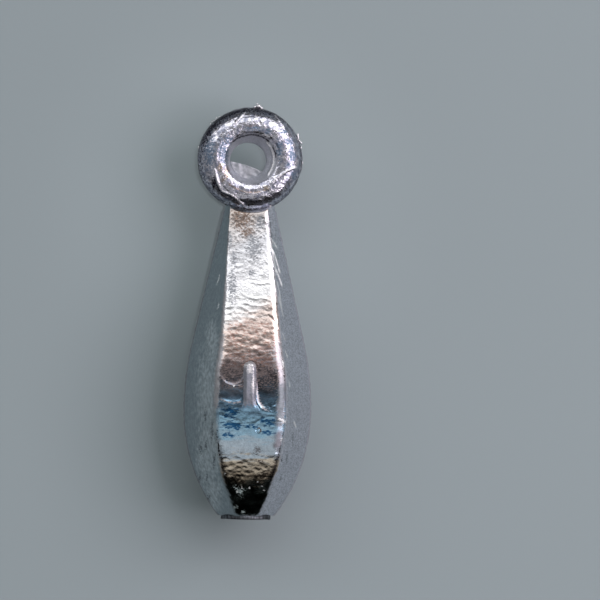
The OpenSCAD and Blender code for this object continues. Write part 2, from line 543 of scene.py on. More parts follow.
ripple(body, "uneven", (3.2, 4.5, 3.2), 0.05, everywhere)
ripple(body, "lumps", (1.1, 1.1, 1.1), 0.025, everywhere, place=(3, 1, 0), layers=2)
ripple(body, "pebbled", (0.34, 0.26, 1), 0.042, front(5, 11, 3), place=(5, 0, 0), layers=2)
ripple(body, "burnt", (0.3, 0.15, 3), 0.055, front(5.4, 8.2), place=(5, 3, 0), layers=2)
ripple(body, "waves", (1.5, 0.8, 3), 0.018, front(12, 17, 3), place=(1, 2, 0))
ripple(body, "scales", (0.85, 0.36, 3), 0.085, front(16.2, 20.6, 2), place=(1, 4, 0), layers=2)
ripple(body, "pocket_grain", (0.22, 0.22, 3), 0.013, front(21, 25.5), place=(2, 2, 0))
ripple(body, "folds", (0.8, 0.34, 3), 0.085, front(26, 27.8), place=(1, 1, 0), layers=2)
ripple(body, "creases", (0.45, 0.18, 3), 0.035, front(26, 28), place=(6, 1, 0))
ripple(body, "calm", (0.9, 0.9, 3), 0.014, front(28, 31), place=(1, 5, 0), layers=2)
ripple(body, "scallops", (0.9, 0.42, 3), 0.075, front(31.2, 33.2, 0.8), place=(0, 3, 1), basis="VORONOI_F1")
ripple(body, "side_skin", (0.6, 0.7, 0.6), 0.015, sides, place=(4, 3, 2), layers=2)
ripple(body, "nicked", (0.3, 0.45, 0.3), 0.08, face_edges, place=(2, 3, 2), layers=2)
ripple(body, "back_ripples", (1.4, 0.6, 3), 0.02, back, place=(7, 7, 0), layers=2)

# Laps down the face, the pockets' rims, the sweep from the mark's foot, folds in the blue, the
# scratches, a nick and a small crater. A height below 0 is a groove.
scratches = [
    [(2.75, -27.25), (3.3, -27.35), (3.85, -27.6)], [(4.7, -27.4), (4.85, -27.9), (5.0, -28.3)],
    [(2.3, -9.4), (2.75, -10.6), (3.2, -12.1)], [(2.6, -11.4), (3.05, -12.4), (3.45, -13.5)],
]
front_laps = [
    [0.09, 0.016, [(-0.2, -12.9), (0.6, -13.1), (1.2, -13.15), (1.8, -12.95), (2.15, -13.1)]],
    [0.09, 0.016, [(-1.0, -14.2), (-0.3, -14.5), (0.5, -14.75), (1.1, -14.6), (1.8, -14.75)]],
    [0.09, 0.018, [(-0.8, -15.1), (0, -15.4), (0.9, -15.45), (1.9, -15.2)]],
    [0.08, 0.045, [(-3.25, -22.7), (-2.8, -23.5), (-2.05, -23.85), (-1.4, -23.95), (-0.85, -23.75)]],
    [0.06, 0.028, [(-3.4, -25.1), (-2.6, -25.5), (-1.7, -25.65), (-0.95, -25.4)]],
    [0.13, 0.028, [(0.35, -24.9), (0.6, -25.5), (0.95, -26.1), (1.3, -26.45), (1.8, -26.6),
                   (2.6, -26.55), (2.95, -25.9)]],
    [0.07, 0.04, [(1.26, -26.16), (1.68, -25.95), (2.0, -26.16)]],
    [0.1, 0.035, [(-3.3, -26.8), (-2.2, -27.2), (-1.2, -27.5)]],
    [0.1, 0.035, [(0.3, -27.9), (1.2, -27.2), (2.5, -26.9), (3.3, -27.2)]],
    [0.16, 0.07, scratches[0]], [0.08, 0.04, scratches[1]],
    [0.09, 0.08, scratches[2]], [0.1, 0.09, scratches[3]],
    [0.07, -0.04, [(1.8, -16.5), (2.35, -16.8), (2.6, -17.05), (2.75, -17.3)]],
    [0.08, -0.05, [(0.75, -28.15), (1.05, -28.35), (0.95, -28.7), (0.6, -28.55), (0.75, -28.15)]],
]
draw_laps(body, front_laps)


def stain(piece, name, spots=(), strokes=(), shares=0):
    """Keeps on the skin how strongly a stain lies at each vertex, 0 to 1: at least its share,
    and more on the front where a spot, (x, y, reach in x, reach in y), or a stroke,
    [half width, points], lies. Both are in millimetres."""
    p, n = points_of(piece)
    shares = np.zeros(len(p)) + shares
    for x, y, reach_x, reach_y in spots:
        off = ((p[:, 0] / mm - x) / reach_x) ** 2 + ((p[:, 1] / mm - y) / reach_y) ** 2
        shares = np.maximum(shares, 0.75 * np.exp(-off ** 1.5) * (p[:, 2] > 0))
    for width, points in strokes:
        shares = np.maximum(shares, line_share(p, width, points) * (p[:, 2] > 0))
    layer = piece.data.attributes.new(name, "FLOAT", "POINT")
    layer.data.foreach_set("value", shares)


stain(body, "brown", [(-0.9, -6.3, 1.3, 1.4), (-0.3, -7.8, 0.8, 0.8), (-1.5, -5.6, 0.6, 0.5)], [
    [0.07, [(0.65, -28.3), (0.95, -28.15), (1.15, -28.5), (0.9, -28.7)]],
    [0.09, [(-1.35, -31.95), (-1.0, -31.8), (-0.7, -31.95)]],
    [0.08, [(0.55, -31.75), (1.0, -31.62), (1.5, -31.7)]],
])
p, n = points_of(body)
on_face = ease(n[:, 2], 0.93, 0.97)
stain(body, "rusty", shares=0.44 * front(17.6, 21.5)(p, n) * on_face)
stain(body, "mottled", shares=0.45 * front(21.6, 23.8)(p, n) * on_face)
# Painted light: the sloping faces on the right are painted paler
stain(body, "painted_light_right", shares=0.42 * sides(p, n) * ease(p[:, 0], 0, 1 * mm))
stain(body, "slate", [
    (0.35, -9.4, 0.95, 1.5), (-2.0, -13.6, 0.6, 1.9), (-1.75, -10.4, 0.35, 1.0), (0.1, -12.0, 0.5, 0.4),
    (0.0, -8.3, 0.5, 0.4), (0.76, -30.5, 0.45, 0.6), (-2.2, -8.6, 0.3, 1.3), (1.0, -6.6, 0.5, 0.8),
])
stain(body, "rubbed", [], [
    [0.2, [(-2.55, -13.0), (-2.85, -15.5), (-3.0, -18.0)]], [0.2, [(1.85, -5.7), (2.1, -8), (2.3, -10.5)]],
    [0.3, [(-3.0, -18.0), (-3.2, -20.5), (-3.5, -22.5), (-3.6, -24.5), (-3.65, -26.5)]],
    [0.42, [(2.85, -18.6), (3.0, -21), (3.2, -23), (3.25, -25), (3.3, -28.4)]],
    [0.4, [(2.55, -19.0), (2.35, -20.2), (2.6, -21.6), (2.85, -22.8)]],
    [0.17, [(0.55, -24.0), (0.7, -24.8), (0.95, -25.6), (1.4, -26.2), (1.9, -26.35)]],
    [0.09, [(-3.3, -25.15), (-2.6, -25.5), (-1.7, -25.65), (-0.95, -25.4)]],
])
# Partly painted shade: the lower right edge of the front face is painted darker grey, as well as made
# duller
stain(body, "dulled_and_shaded", [], [
    [0.42, [(3.2, -23.2), (3.25, -24.5), (3.15, -26), (3.05, -27.5), (2.98, -28.6), (2.9, -31)]],
])
# Painted shade: dark lines along the lower edges of the front face and in a groove
stain(body, "painted_edge_shade", [], [
    [0.08, [(-3.45, -28.3), (-3.49, -29.1), (-3.21, -30.7), (-2.87, -32.3), (-2.5, -33.4), (-2.3, -34.2)]],
    [0.09, [(3.45, -31.2), (3.35, -31.9)]], [0.05, [(2.2, -16.75), (2.6, -17.05), (2.75, -17.25)]],
    [0.09, [(3.45, -28.4), (3.41, -29.1), (3.06, -30.7), (2.76, -32.3), (2.38, -33.3), (2.2, -34)]],
])
stain(body, "navy", [
    (-2.1, -26.6, 1.1, 0.8), (-1.9, -28.0, 1.35, 0.55), (1.9, -27.5, 1.0, 0.55), (0.2, -28.1, 0.9, 0.3),
    (-2.2, -29.0, 0.9, 0.3), (1.9, -28.7, 0.8, 0.3),
])
stain(body, "scuffed", [
    (0.1, -34.51, 0.12, 0.1), (-0.75, -34.55, 0.12, 0.2), (-1.2, -34.9, 0.1, 0.1),
    (1.36, -34.3, 0.2, 0.1), (1.59, -34.72, 0.14, 0.1), (0.92, -33.88, 0.1, 0.08),
    (-2.5, -33.1, 0.2, 0.15), (3.3, -29.4, 0.14, 0.3), (-1.75, -23.84, 0.12, 0.1),
    (2.35, -8.7, 0.12, 0.25), (2.6, -10.2, 0.1, 0.3), (3.0, -11.6, 0.1, 0.3), (1.9, -6.6, 0.1, 0.3),
], [
    [0.15, scratches[0]], [0.09, scratches[1]], [0.09, scratches[2]], [0.1, scratches[3]],
    [0.08, [(1.82, -7.9), (2.3, -9.6), (2.75, -12.2)]], [0.07, [(2.9, -14.4), (3.5, -16.6)]],
    [0.08, [(2.8, -12.8), (3.15, -14.6), (3.3, -16.0)]], [0.07, [(3.35, -18.2), (3.7, -19.2)]],
    [0.07, [(3.6, -20.0), (3.95, -20.9)]], [0.07, [(3.3, -20.9), (3.45, -21.9)]],
    [0.07, [(4.0, -23.2), (4.2, -24.0)]], [0.08, [(2.1, -8.2), (2.9, -9.4)]],
    [0.07, [(-3.3, -15.2), (-3.5, -16.0)]], [0.07, [(-3.2, -12.2), (-3.5, -13.3)]],
])
stain(body, "clouded", [(-1.3, -36.6, 0.3, 0.25), (-0.5, -37.1, 0.3, 0.2)], [
    [0.42, [(-1.5, -34.4), (-1.0, -34.7), (-0.8, -35.5)]], [0.3, [(-1.0, -34.9), (-0.3, -34.8)]],
])
stain(body, "frosted", [
    (-4.4, -24.5, 1.0, 4.6), (-4.3, -31.0, 1.1, 4.0), (-3.6, -35.5, 0.8, 2.4), (-4.0, -19.6, 0.6, 2.6),
    (2.65, -9.6, 0.4, 2.2),
])
# Smudges on the sloping faces; the spots and the stroke along the front face's right edge are painted shade
stain(body, "smudged_and_shaded", [
    (-5.0, -30.6, 0.2, 0.7), (-4.5, -30.2, 0.14, 0.6), (-5.0, -33.8, 0.16, 0.7), (-4.0, -35.8, 0.25, 0.5),
    (-3.65, -31.7, 0.16, 0.9), (-3.95, -28.6, 0.14, 1.2), (-4.6, -27.0, 0.14, 1.0),
    (-4.3, -33.6, 0.12, 0.6), (4.0, -31.5, 0.14, 0.8), (4.6, -29.4, 0.12, 0.9), (3.4, -33.6, 0.12, 0.6),
    (1.95, -6.8, 0.25, 0.5), (2.1, -8.2, 0.25, 0.6), (2.2, -9.8, 0.25, 0.6), (2.45, -11.6, 0.2, 0.5),
], [[0.42, [(3.2, -23.4), (3.25, -24.5), (3.15, -26), (3.05, -28.1)]]])

# Cast lead: bright metal under a thin oxide bloom. It is near a mirror where the mould was
# smooth, and goes brown, blue and slate where it cooled last.
bloom_stops = [
    [-5.5, "#A9A29F"], [-9, "#B9BABF"], [-12, "#D3D3D7"], [-15, "#DADADC"], [-17.2, "#BBACA6"],
    [-19.4, "#CABBB5"], [-21.2, "#B6A9AA"], [-22.6, "#8E868B"], [-24.2, "#727C8A"], [-25.3, "#7694AE"],
    [-27.2, "#9FCCE8"], [-28.6, "#AAD1E9"], [-29.6, "#BCCEDC"], [-31, "#C0CEDA"], [-31.8, "#DDD2C0"],
    [-33.4, "#C2B29C"], [-34.4, "#5C6866"],
]
bloom_reach = 40 * mm
bloom_waver = 1.8 * mm
bloom_slant = {"From_Min": -23 * mm, "From_Max": -17 * mm, "To_Min": 0, "To_Max": -0.55}
# Painted shade and light for the sloping faces: the left colour darker, the right one paler
side_shade_and_light_hexes = ("#9DA9AF", "#D5D9E2")
side_rough = 0.44
side_blend = 1 * mm
# A noise seldom leaves this span. A stain shows where its share and its grain together pass
# the level, and thins out where its share is below the faint one.
noise_span = {"From_Min": 0.3, "From_Max": 0.7}
stain_level = 0.56
stain_faint = 0.25
grain_shades = {"blotch": (0.85, 1.05), "fine": (0.88, 1.04)}
mix_numbers = {"data_type": "FLOAT"}


def cast_lead(name, grains, stains, hexes, roughness, bump_depth, bands=()):
    """Cast lead, a whole finish. grains are noises by name, [size in x, y and z in mm, layers,
    shift]. stains are [colour, roughness, noise that breaks them up, softness], by name. bands,
    if any, are the bloom's colours by y in mm, and hexes then go on the faces beside it."""
    made, tree, shader = new_material(name, metallic=1)
    place = add_node(tree, "TexCoord").outputs
    noise = {}
    for grain, (size, layers, shift) in grains.items():
        scaled = add_node(
            tree, "Mapping", Vector=place["Object"], Scale=[1 / (s * mm) for s in size], Location=shift
        )
        noise[grain] = add_node(tree, "TexNoise", Vector=scaled, Scale=1, Detail=layers)
    worn = add_node(tree, "MapRange", smooth, Value=noise["broad"], From_Min=0.32, From_Max=0.64)
    colour = add_node(tree, "Mix", mix_colours, _0=worn, _6=linear(hexes[0]), _7=linear(hexes[1]))
    rough = add_node(
        tree, "MapRange", Value=noise["broad"], **noise_span, To_Min=roughness[1], To_Max=roughness[0]
    )

    if bands:
        # The bloom runs in bands across the face, with wavering edges that slant above the mark
        spot = add_node(tree, "SeparateXYZ", Vector=place["Object"]).outputs
        way = add_node(tree, "SeparateXYZ", Vector=place["Normal"]).outputs
        waver = add_node(tree, "MapRange", Value=noise["wave"], To_Min=-bloom_waver, To_Max=bloom_waver)
        slope = add_node(tree, "MapRange", Value=spot["Y"], **bloom_slant)
        slant = add_node(tree, "Math", {"operation": "MULTIPLY_ADD"}, _0=spot["X"], _1=slope, _2=spot["Y"])
        wavered = add_node(tree, "Math", {"operation": "ADD"}, _0=waver, _1=slant)
        down = add_node(tree, "MapRange", Value=wavered, From_Min=0, From_Max=-bloom_reach)
        bloom = add_node(tree, "ValToRGB", Fac=down)
        set_stops(bloom, [[-y * mm / bloom_reach, linear(band_hex)] for y, band_hex in bands])
        # The four sloping faces: painted shade makes the left ones slate, and painted light the right ones
        # paler
        rightward = add_node(tree, "MapRange", Value=spot["X"], From_Min=-side_blend, From_Max=side_blend)
        side = add_node(tree, "Mix", mix_colours, _0=rightward, _6=linear(hexes[0]), _7=linear(hexes[1]))
        upright = add_node(tree, "Math", {"operation": "ABSOLUTE"}, _0=way["Z"])
        flat = add_node(tree, "MapRange", smooth, Value=upright, From_Min=0.66, From_Max=0.85)
        colour = add_node(tree, "Mix", mix_colours, _0=flat, _6=side, _7=bloom)
        rough = add_node(tree, "Mix", mix_numbers, _0=flat, _2=side_rough, _3=rough)

    # Stains and scuffs lie over it, broken up into grains at their edges
    for stain_name, (stain_hex, stain_rough, grain, soft) in stains.items():
        kept = add_node(tree, "Attribute", {"attribute_name": stain_name})
        ragged = add_node(tree, "MapRange", Value=noise[grain], **noise_span, To_Min=-0.5, To_Max=0.5)
        edge = add_node(tree, "Math", {"operation": "ADD"}, _0=kept.outputs["Fac"], _1=ragged)
        within = add_node(tree, "MapRange", Value=kept.outputs["Fac"], From_Min=0, From_Max=stain_faint)
        share = add_node(
            tree, "MapRange", smooth, Value=edge,
            From_Min=stain_level - soft, From_Max=stain_level + soft, To_Max=within,
        )
        colour = add_node(tree, "Mix", mix_colours, _0=share, _6=colour, _7=linear(stain_hex))
        rough = add_node(tree, "Mix", mix_numbers, _0=share, _2=rough, _3=stain_rough)

    # Blotches and grain darken all of it a little
    dim = [
        add_node(tree, "MapRange", Value=noise[grain], **noise_span, To_Min=low, To_Max=high)
        for grain, (low, high) in grain_shades.items()
    ]
    dimmed = add_node(tree, "Math", {"operation": "MULTIPLY"}, _0=dim[0], _1=dim[1])
    colour = add_node(
        tree, "Mix", {"data_type": "RGBA", "blend_type": "MULTIPLY"}, _0=1, _6=colour, _7=dimmed
    )
    bump = add_node(tree, "Bump", Height=noise["fine"], Strength=1, Distance=bump_depth * mm)
    tree.links.new(colour.outputs["Result"], shader.inputs["Base Color"])
    tree.links.new(rough.outputs["Result"], shader.inputs["Roughness"])
    tree.links.new(bump.outputs["Normal"], shader.inputs["Normal"])
    return made


body_grains = {
    "broad": [(1.3, 0.8, 1.3), 3, (0, 0, 0)], "fine": [(0.17, 0.17, 0.17), 2, (3, 1, 2)],
    "wave": [(1.5, 0.4, 1.5), 3, (7, 2, 0)], "speckle": [(0.22, 0.13, 0.22), 2, (1, 1, 5)],
    "fold": [(0.42, 0.15, 0.42), 2, (1, 4, 5)], "blotch": [(0.32, 0.5, 0.32), 3, (4, 4, 1)],
}
body_stains = {
    "brown": ["#78685F", 0.26, "speckle", 0.4], "slate": ["#86898F", 0.3, "speckle", 0.3],
    "navy": ["#2F6796", 0.2, "fold", 0.2], "frosted": ["#CBD4D8", 0.5, "blotch", 0.8],
    "rubbed": ["#B0B0B5", 0.42, "speckle", 0.3], "painted_edge_shade": ["#26242A", 0.35, "speckle", 0.25],
    "dulled_and_shaded": ["#8A8C94", 0.5, "broad", 0.6], "clouded": ["#BFCFCF", 0.66, "speckle", 0.3],
    "rusty": ["#A5857B", 0.26, "fold", 0.4], "mottled": ["#8C7F7D", 0.36, "speckle", 0.4],
    "smudged_and_shaded": ["#767E84", 0.46, "speckle", 0.4], "painted_light_right": ["#AAB0B9", 0.44, "speckle", 0.4],
    "scuffed": ["#EDF1F2", 0.6, "speckle", 0.14],
}
body.data.materials.clear()
body.data.materials.append(cast_lead(
    "cast_lead_with_oxide_bloom", body_grains, body_stains, side_shade_and_light_hexes, (0.08, 0.28), 0.011, bloom_stops
))

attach(body, "root")
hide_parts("body")


# The ring eye: a ring of round section, cast in lead in one with the body. Two tapered core
# pins, one from each face, leave the hole. Two streams of metal met here and left raised laps.
eye_hole_r = 1.8 * mm
eye_mouth_r = 2.7 * mm
eye_land = 1 * mm
ring_sides = 120
ring_steps = 440

eye_mouth_z = sqrt(eye_bar_r ** 2 - (eye_path_r - eye_mouth_r) ** 2)
core_slope = (eye_mouth_r - eye_hole_r) / (eye_mouth_z - eye_land / 2)
core_drift = (-0.25 * mm, -0.12 * mm)
core_play = 0.1 * mm
mouth_edge = (eye_mouth_r - 0.1 * mm, eye_mouth_r + 0.2 * mm)
rim_swell = 0.16 * mm
weld = 0.002 * mm


def finish_shell():
    """Turns every face of the piece that is being edited outwards, and leaves edit mode."""
    bpy.ops.mesh.select_all(action="SELECT")
    bpy.ops.mesh.normals_make_consistent(inside=False)
    done()


bpy.ops.mesh.primitive_circle_add(
    vertices=ring_sides, radius=eye_bar_r, location=(eye_path_r, 0, 0), rotation=(pi / 2, 0, 0)
)
ring = bpy.context.object
ring.name = "cast_eye_ring"
settle(ring)
p, n = points_of(ring)
core = eye_hole_r + np.maximum(np.abs(p[:, 2]) - eye_land / 2, 0) * core_slope
p[:, 0] = np.maximum(p[:, 0], core)
put(ring, p)
edit(ring, "VERT", lambda p: True)
bpy.ops.mesh.spin(steps=ring_steps, angle=2 * pi, center=(0, 0, 0), axis=(0, 0, 1))
bpy.ops.mesh.select_all(action="SELECT")
bpy.ops.mesh.remove_doubles(threshold=weld)
finish_shell()
bpy.ops.object.shade_smooth()
# The core pins were a loose fit and sat a little to the lower left. The ring swells on its left
p, n = points_of(ring)
radius = np.hypot(p[:, 0], p[:, 1])
inner = 1 - ease(radius, eye_hole_r, eye_mouth_r)
p[:, :2] *= (1 + inner * core_play / radius)[:, None]
p[:, 0] += core_drift[0] * inner - rim_swell * ease(-p[:, 0], 0, eye_r)
p[:, 1] += core_drift[1] * inner
put(ring, p)


def outside_hole(p, n):
    """All of the ring but the cored hole."""
    return ease(np.hypot(p[:, 0], p[:, 1]), *mouth_edge)


def in_hole(p, n):
    """The cored hole."""
    return 1 - outside_hole(p, n)


def faces_front(p, n):
    """The outside of the ring, and most of all its front."""
    return outside_hole(p, n) * (0.4 + 0.6 * ease(n[:, 2], 0.2, 0.6))


ripple(ring, "uneven", (2.4, 2.4, 2.4), 0.12, outside_hole, place=(2, 5, 1))
ripple(ring, "lumps", (0.7, 0.7, 0.7), 0.1, outside_hole, place=(1, 4, 1), layers=2)
ripple(ring, "pits", (0.26, 0.26, 0.26), 0.05, faces_front, place=(4, 4, 1), layers=2)
ripple(ring, "core_scores", (0.5, 0.5, 1.2), 0.04, in_hole, place=(1, 1, 1))
# Folds at the lower left and to the right of the hole, and short creases and grooves
ring_laps = [
    [0.1, 0.12, [(-3.9, -1.0), (-3.72, -1.6), (-3.54, -2.5), (-3.1, -3.4), (-2.6, -3.6),
                 (-2.15, -3.7), (-1.5, -4.25), (-0.6, -4.9)]],
    [0.09, 0.12, [(4.88, -0.76), (3.95, -1.07), (3.2, -1.6), (2.67, -2.0), (2.1, -2.55)]],
    [0.09, 0.12, [(1.5, 1.85), (2.1, 1.2), (2.38, 0.3), (2.3, -0.7), (1.7, -1.8)]],
    [0.09, -0.1, [(2.0, 2.2), (2.6, 1.5), (2.9, 0.7)]],
    [0.07, 0.09, [(-2.1, 3.3), (-1.4, 4.2), (-0.6, 5.0)]],
    [0.07, 0.09, [(2.4, 4.75), (2.8, 4.2), (3.5, 3.3)]],
    [0.06, -0.07, [(0.55, 5.0), (0.65, 4.2), (0.95, 3.5)]],
    [0.07, -0.05, [(-2.4, 2.9), (-1.4, 3.9)]],
]
draw_laps(ring, ring_laps)

# Flow lines that the metal left as it ran round the ring, raised and sunk. The spans are of
# each one's start and reach, in radians, and of its distance from the middle, its drift, half
# width and height, in millimetres.
flow_count = 30
flow_spans = [(0, 2 * pi), (0.35, 1), (2.9, 4.9), (-0.3, 0.3), (0.05, 0.1), (-0.06, 0.06)]
flow = np.random.default_rng(5)
flow_lines = []
along = np.linspace(0, 1, 5)
for _ in range(flow_count):
    start, reach, off, drift, width, height = [flow.uniform(*span) for span in flow_spans]
    turns = start + reach * along
    offs = off + drift * along
    arc = np.column_stack([offs * np.cos(turns), offs * np.sin(turns)])
    flow_lines.append([width, height, arc])
draw_laps(ring, flow_lines)

# Painted shade: the ring's rim is painted dark, widest at the top and a little to the left
rim_shade_w = 0.5 * mm
rim_shade_more_w = 0.45 * mm
rim_shade_fade = 0.1 * mm
rim_shade_lean = 0.35

p, n = points_of(ring)
radius = np.hypot(p[:, 0], p[:, 1])
upper = ease(p[:, 1] / radius - rim_shade_lean * p[:, 0] / radius, 0.3, 1)
rim = ease(radius, eye_r - rim_shade_w - rim_shade_more_w * upper, eye_r - rim_shade_fade)
rim *= (0.5 + 0.5 * upper) * ease(n[:, 2], 0, 0.3)
# Its spots and strokes are painted shadow too: along the hole's mouth, beside the lower-left lap and at the
# lower rim
stain(ring, "painted_rim_shade", [(0.4, -4.5, 0.6, 0.15), (-3.9, -2.6, 0.3, 0.9), (2.9, -3.7, 0.45, 0.2)], [
    [0.08, [(-2.1, 1.7), (-1.3, 2.3), (0, 2.62), (1.2, 2.35), (1.9, 1.8)]],
    [0.08, [(2.2, 1.4), (2.55, 0.6), (2.6, 0.1)]],
    [0.1, [(-3.7, -2.7), (-3.2, -3.6), (-2.1, -3.95), (-1.3, -4.5)]],
], rim)
# Laps that stand up are burnished along their tops
stain(ring, "keen", strokes=[[width * 0.9, line] for width, rise, line in ring_laps if rise > 0])
# Painted light: the cored hole's walls are painted pale, as well as made rougher
stain(ring, "cored", shares=in_hole(p, n))
# Partly painted shade: the ring's faces that turn sideways or down are painted darker, as well as made
# duller
stain(ring, "dulled_and_shaded", shares=(1 - ease(n[:, 2], 0.1, 0.4)) * outside_hole(p, n))
stain(ring, "brown", [
    (-2.6, -1.2, 0.4, 0.7), (-3.0, -2.2, 0.3, 0.4), (-0.2, 3.4, 0.5, 0.2), (-3.9, 0.4, 0.3, 0.6),
], [[0.1, [(-2.6, -2.5), (-1.4, -3.3), (0, -3.6), (1.3, -3.35), (2.0, -3.0)]]])
# Blue-grey patches; laid over the highlights at the hole's left and right, they are partly painted shade
stain(ring, "blue", [
    (-3.0, 0.7, 0.7, 1.8), (-2.75, 0.4, 0.45, 1.3), (-2.5, 2.0, 0.6, 0.6), (1.7, 3.0, 0.5, 0.4),
    (4.0, 1.9, 0.6, 0.5), (4.45, 0.4, 0.4, 0.6), (3.4, 2.9, 0.5, 0.35), (3.9, -0.6, 0.5, 0.35),
    (2.95, 1.0, 0.4, 1.5), (4.5, -1.6, 0.4, 0.6), (0.2, 3.2, 1.3, 0.28), (-4.4, 0.6, 0.8, 2.0),
    (4.2, 0.6, 0.35, 1.0),
])
stain(ring, "tan", [(-3.3, -0.9, 0.35, 0.5), (-2.6, -1.7, 0.3, 0.5), (1.6, -3.0, 0.4, 0.25)])

# Cast lead again, brighter than on the body, mottled by handling, with painted shade at its rim
ring_grains = {
    "broad": [(0.45, 0.45, 0.45), 3, (2, 2, 2)], "fine": [(0.17, 0.17, 0.17), 2, (5, 1, 2)],
    "speckle": [(0.17, 0.17, 0.17), 2, (1, 3, 5)], "blotch": [(0.9, 0.9, 0.9), 2, (4, 1, 1)],
}
ring_stains = {
    "dulled_and_shaded": ["#63656E", 0.5, "broad", 0.5], "cored": ["#CDD0D8", 0.62, "speckle", 0.2],
    "brown": ["#A39793", 0.3, "speckle", 0.3], "blue": ["#74869C", 0.5, "speckle", 0.3],
    "tan": ["#D9C8B8", 0.2, "speckle", 0.2], "painted_rim_shade": ["#282231", 0.4, "speckle", 0.4],
    "keen": ["#EFEFF4", 0.5, "speckle", 0.3],
}
ring.data.materials.append(cast_lead(
    "cast_lead_handled_bright", ring_grains, ring_stains, ("#8E92A4", "#E2E1EC"), (0.16, 0.36), 0.034
))

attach(ring, "root")
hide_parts("eye_ring")


# The weight mark: a plain upright stroke cut into the front mould half, so it stands up from
# the face. Its top is rubbed bright; its foot spreads to the right and did not fill sharp.
mark_drop = 21.25 * mm
mark_shift = -0.12 * mm
mark_l = 5.4 * mm
mark_stroke = 1.25 * mm
mark_foot_ends = (-0.35 * mm, 0.8 * mm)
mark_foot_w = 0.5 * mm
mark_blend = 1 * mm
mark_relief = 0.26 * mm
mark_wall = (-0.1 * mm, 0.34 * mm)
mark_skirt = (-0.25 * mm, 0.05 * mm)
mark_margin = 0.7 * mm
mark_grid = 0.05 * mm
mark_sunk = 0.12 * mm
# Down its length the stroke fades to almost nothing, and its skin sinks back into the face
mark_fade_shares = (0.62, 1.02)
mark_faint_share = 0.08
mark_end_shares = (0.94, 1.06)
# Its right side stands up a little more than its left
mark_ridge_share = 0.12
mark_ridge_w = 0.4 * mm

mark_size = (mark_stroke + 3 * mark_margin, mark_l + 2 * mark_margin)
bpy.ops.mesh.primitive_grid_add(
    x_subdivisions=round(mark_size[0] / mark_grid), y_subdivisions=round(mark_size[1] / mark_grid),
    size=1, location=(mark_shift, -mark_drop - mark_l / 2, 0),
)
mark = bpy.context.object
mark.name = "cast_weight_mark"
mark.scale = (mark_size[0], mark_size[1], 1)
settle(mark)

p, n = points_of(mark)
half_stroke = mark_stroke / 2
foot_y = -mark_drop - mark_l + mark_foot_w / 2
stroke = bar_inside(p, (mark_shift, -mark_drop - half_stroke), (mark_shift, foot_y), half_stroke)
foot_ends = [(mark_shift + x, foot_y) for x in mark_foot_ends]
foot = bar_inside(p, foot_ends[0], foot_ends[1], mark_foot_w / 2)
near = np.clip(0.5 + 0.5 * (stroke - foot) / mark_blend, 0, 1)
inside = foot * (1 - near) + stroke * near + mark_blend * near * (1 - near)
down_share = (-p[:, 1] - mark_drop) / mark_l
full = mark_faint_share + (1 - mark_faint_share) * (1 - ease(down_share, *mark_fade_shares))
ridge = 1 + mark_ridge_share * ease(p[:, 0], mark_shift, mark_shift + mark_ridge_w)
rise = ease(inside, *mark_wall) * mark_relief * full * ridge
shown = ease(inside, *mark_skirt) * (1 - ease(down_share, *mark_end_shares))
p[:, 2] = half_depth(-p[:, 1]) + rise - mark_sunk * (1 - shown)
put(mark, p)
edit(mark, "VERT", lambda p: True)
bpy.ops.mesh.extrude_region_move(TRANSFORM_OT_translate={"value": (0, 0, -2 * mark_sunk)})
finish_shell()
bpy.ops.object.shade_smooth()


def upward(p, n):
    """What faces up."""
    return ease(n[:, 2], 0.2, 0.6)


ripple(mark, "worn", (0.5, 0.7, 0.5), 0.05, upward, place=(3, 3, 3), layers=2)
ripple(mark, "grain", (0.2, 0.2, 0.2), 0.016, upward, place=(1, 3, 3))
p, n = points_of(mark)
stain(mark, "rubbed", shares=1 - ease((-p[:, 1] - mark_drop) / mark_l, 0.72, 1))
stain(mark, "bright", [(-0.1, -21.6, 0.65, 0.45), (-0.05, -22.1, 0.4, 0.5), (0.25, -23.6, 0.25, 1.0)])

# Cast lead rubbed dull and grey-lilac, and burnished bright on the edges that stand highest
mark_stains = {"rubbed": ["#9B9EA9", 0.56, "speckle", 0.3], "bright": ["#ECEAEC", 0.46, "speckle", 0.5]}
mark.data.materials.append(cast_lead(
    "cast_lead_rubbed", body_grains, mark_stains, side_shade_and_light_hexes, (0.25, 0.4), 0.014, bloom_stops
))

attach(mark, "root")
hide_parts("weight_mark")


# The sprue stub: where the pouring gate was clipped off with side cutters. Their two blades
# leave a low pinched ridge across the stub, and drag its lip out at one end.
sprue_r = 2.58 * mm
sprue_h = 0.3 * mm
sprue_root = 0.15 * mm
sprue_rings = 12
sprue_bevel = 0.06 * mm
cut_margin = 0.01 * mm
pinch_h = 0.12 * mm
pinch_w = 0.5 * mm
drag_w = 0.5 * mm
drag_depth = 0.9 * mm
drag_out = 0.12 * mm
drag_back = 0.08 * mm

bpy.ops.mesh.primitive_cylinder_add(
    vertices=128, radius=sprue_r, depth=sprue_h + sprue_root,
    location=(0, -base_drop - (sprue_h - sprue_root) / 2, 0), rotation=(pi / 2, 0, 0),
)
sprue = bpy.context.object
sprue.name = "clipped_sprue"
settle(sprue)


def is_cut(p):
    """An edge or face on the cut."""
    return p[:, 1].max() < -base_drop - sprue_h + cut_margin


bevel(sprue, sprue_bevel, 3, is_cut)
edit(sprue, "FACE", is_cut)
for _ in range(sprue_rings):
    bpy.ops.mesh.inset(thickness=sprue_r / (sprue_rings + 1))
bpy.ops.mesh.poke()
done()
bpy.ops.object.shade_smooth()
p, n = points_of(sprue)
outward = ease(-p[:, 1], base_drop, base_drop + sprue_h)
p[:, 1] -= outward * pinch_h * np.exp(-(p[:, 2] / pinch_w) ** 2)
dragged = outward * np.exp(-((p[:, 0] + sprue_r) / drag_w) ** 2 - (p[:, 2] / drag_depth) ** 2)
p[:, 0] -= dragged * drag_out
p[:, 1] += dragged * drag_back
put(sprue, p)


